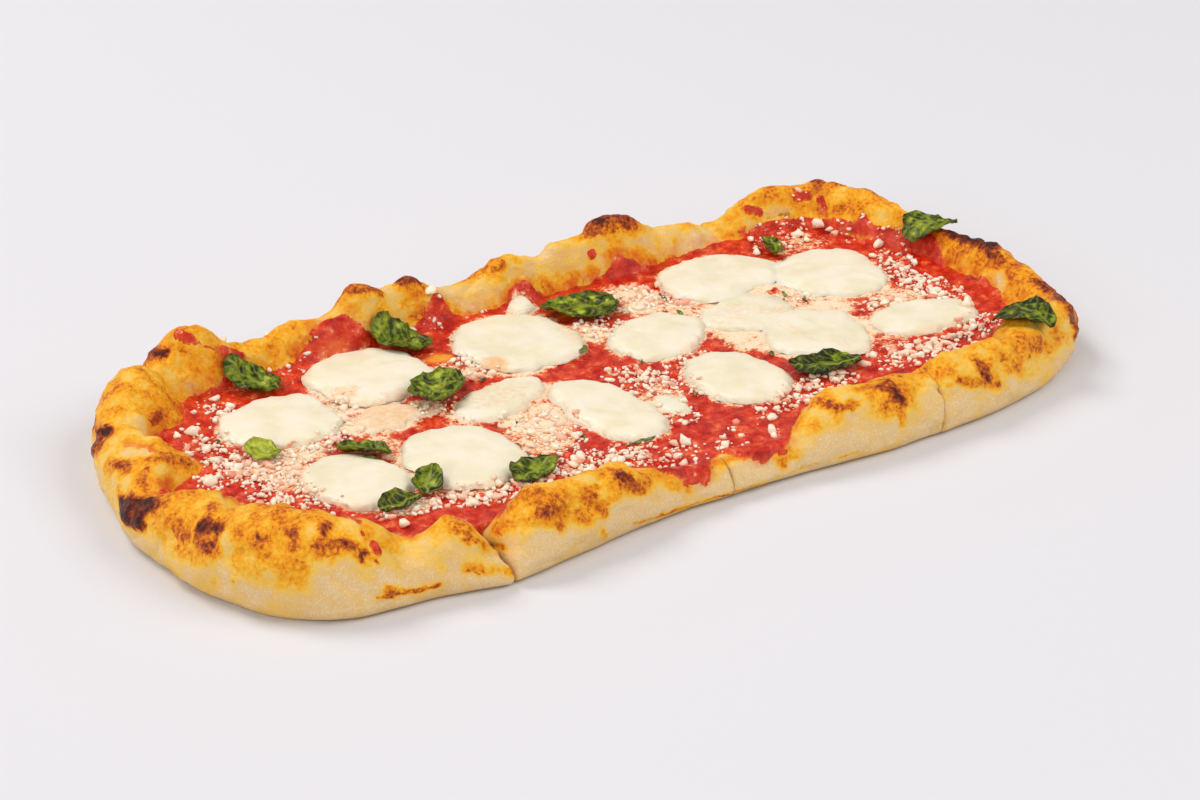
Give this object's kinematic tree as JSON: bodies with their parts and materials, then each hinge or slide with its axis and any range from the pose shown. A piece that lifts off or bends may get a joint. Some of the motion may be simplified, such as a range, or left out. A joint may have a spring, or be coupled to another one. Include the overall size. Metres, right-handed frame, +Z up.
{
  "type": "margherita pizza",
  "caption": "Oblong margherita pizza: a puffy baked rim round a flat base, with tomato sauce, melted mozzarella, grated cheese and basil leaves on top.",
  "frame": {"origin": "middle of the bounding box, at the flat underside that the pizza rests on", "axes": "+X along the length of the pizza, +Y across it to the side with the taller puffs, +Z up"},
  "size_m": [0.3406, 0.1662, 0.0323],
  "materials": {
    "crust": "matt baked dough, golden to brown, with pale floured sides",
    "sauce": "wet tomato sauce",
    "mozzarella": "soft melted cheese with a satin skin",
    "basil": "wilted leaf with a light gloss"
  },
  "bodies": {
    "root": {"crust": "crust", "sauce": "sauce", "mozzarella_01": "mozzarella", "mozzarella_02": "mozzarella", "mozzarella_03": "mozzarella", "mozzarella_04": "mozzarella", "mozzarella_05": "mozzarella", "mozzarella_06": "mozzarella", "mozzarella_07": "mozzarella", "mozzarella_08": "mozzarella", "mozzarella_09": "mozzarella", "mozzarella_10": "mozzarella", "mozzarella_11": "mozzarella", "mozzarella_12": "mozzarella", "mozzarella_13": "mozzarella", "mozzarella_14": "mozzarella", "basil_01": "basil", "basil_02": "basil", "basil_03": "basil", "basil_04": "basil", "basil_05": "basil", "basil_06": "basil", "basil_07": "basil", "basil_08": "basil", "basil_09": "basil", "basil_10": "basil", "basil_11": "basil", "basil_12": "basil", "basil_13": "basil"}
  },
  "joints": []
}
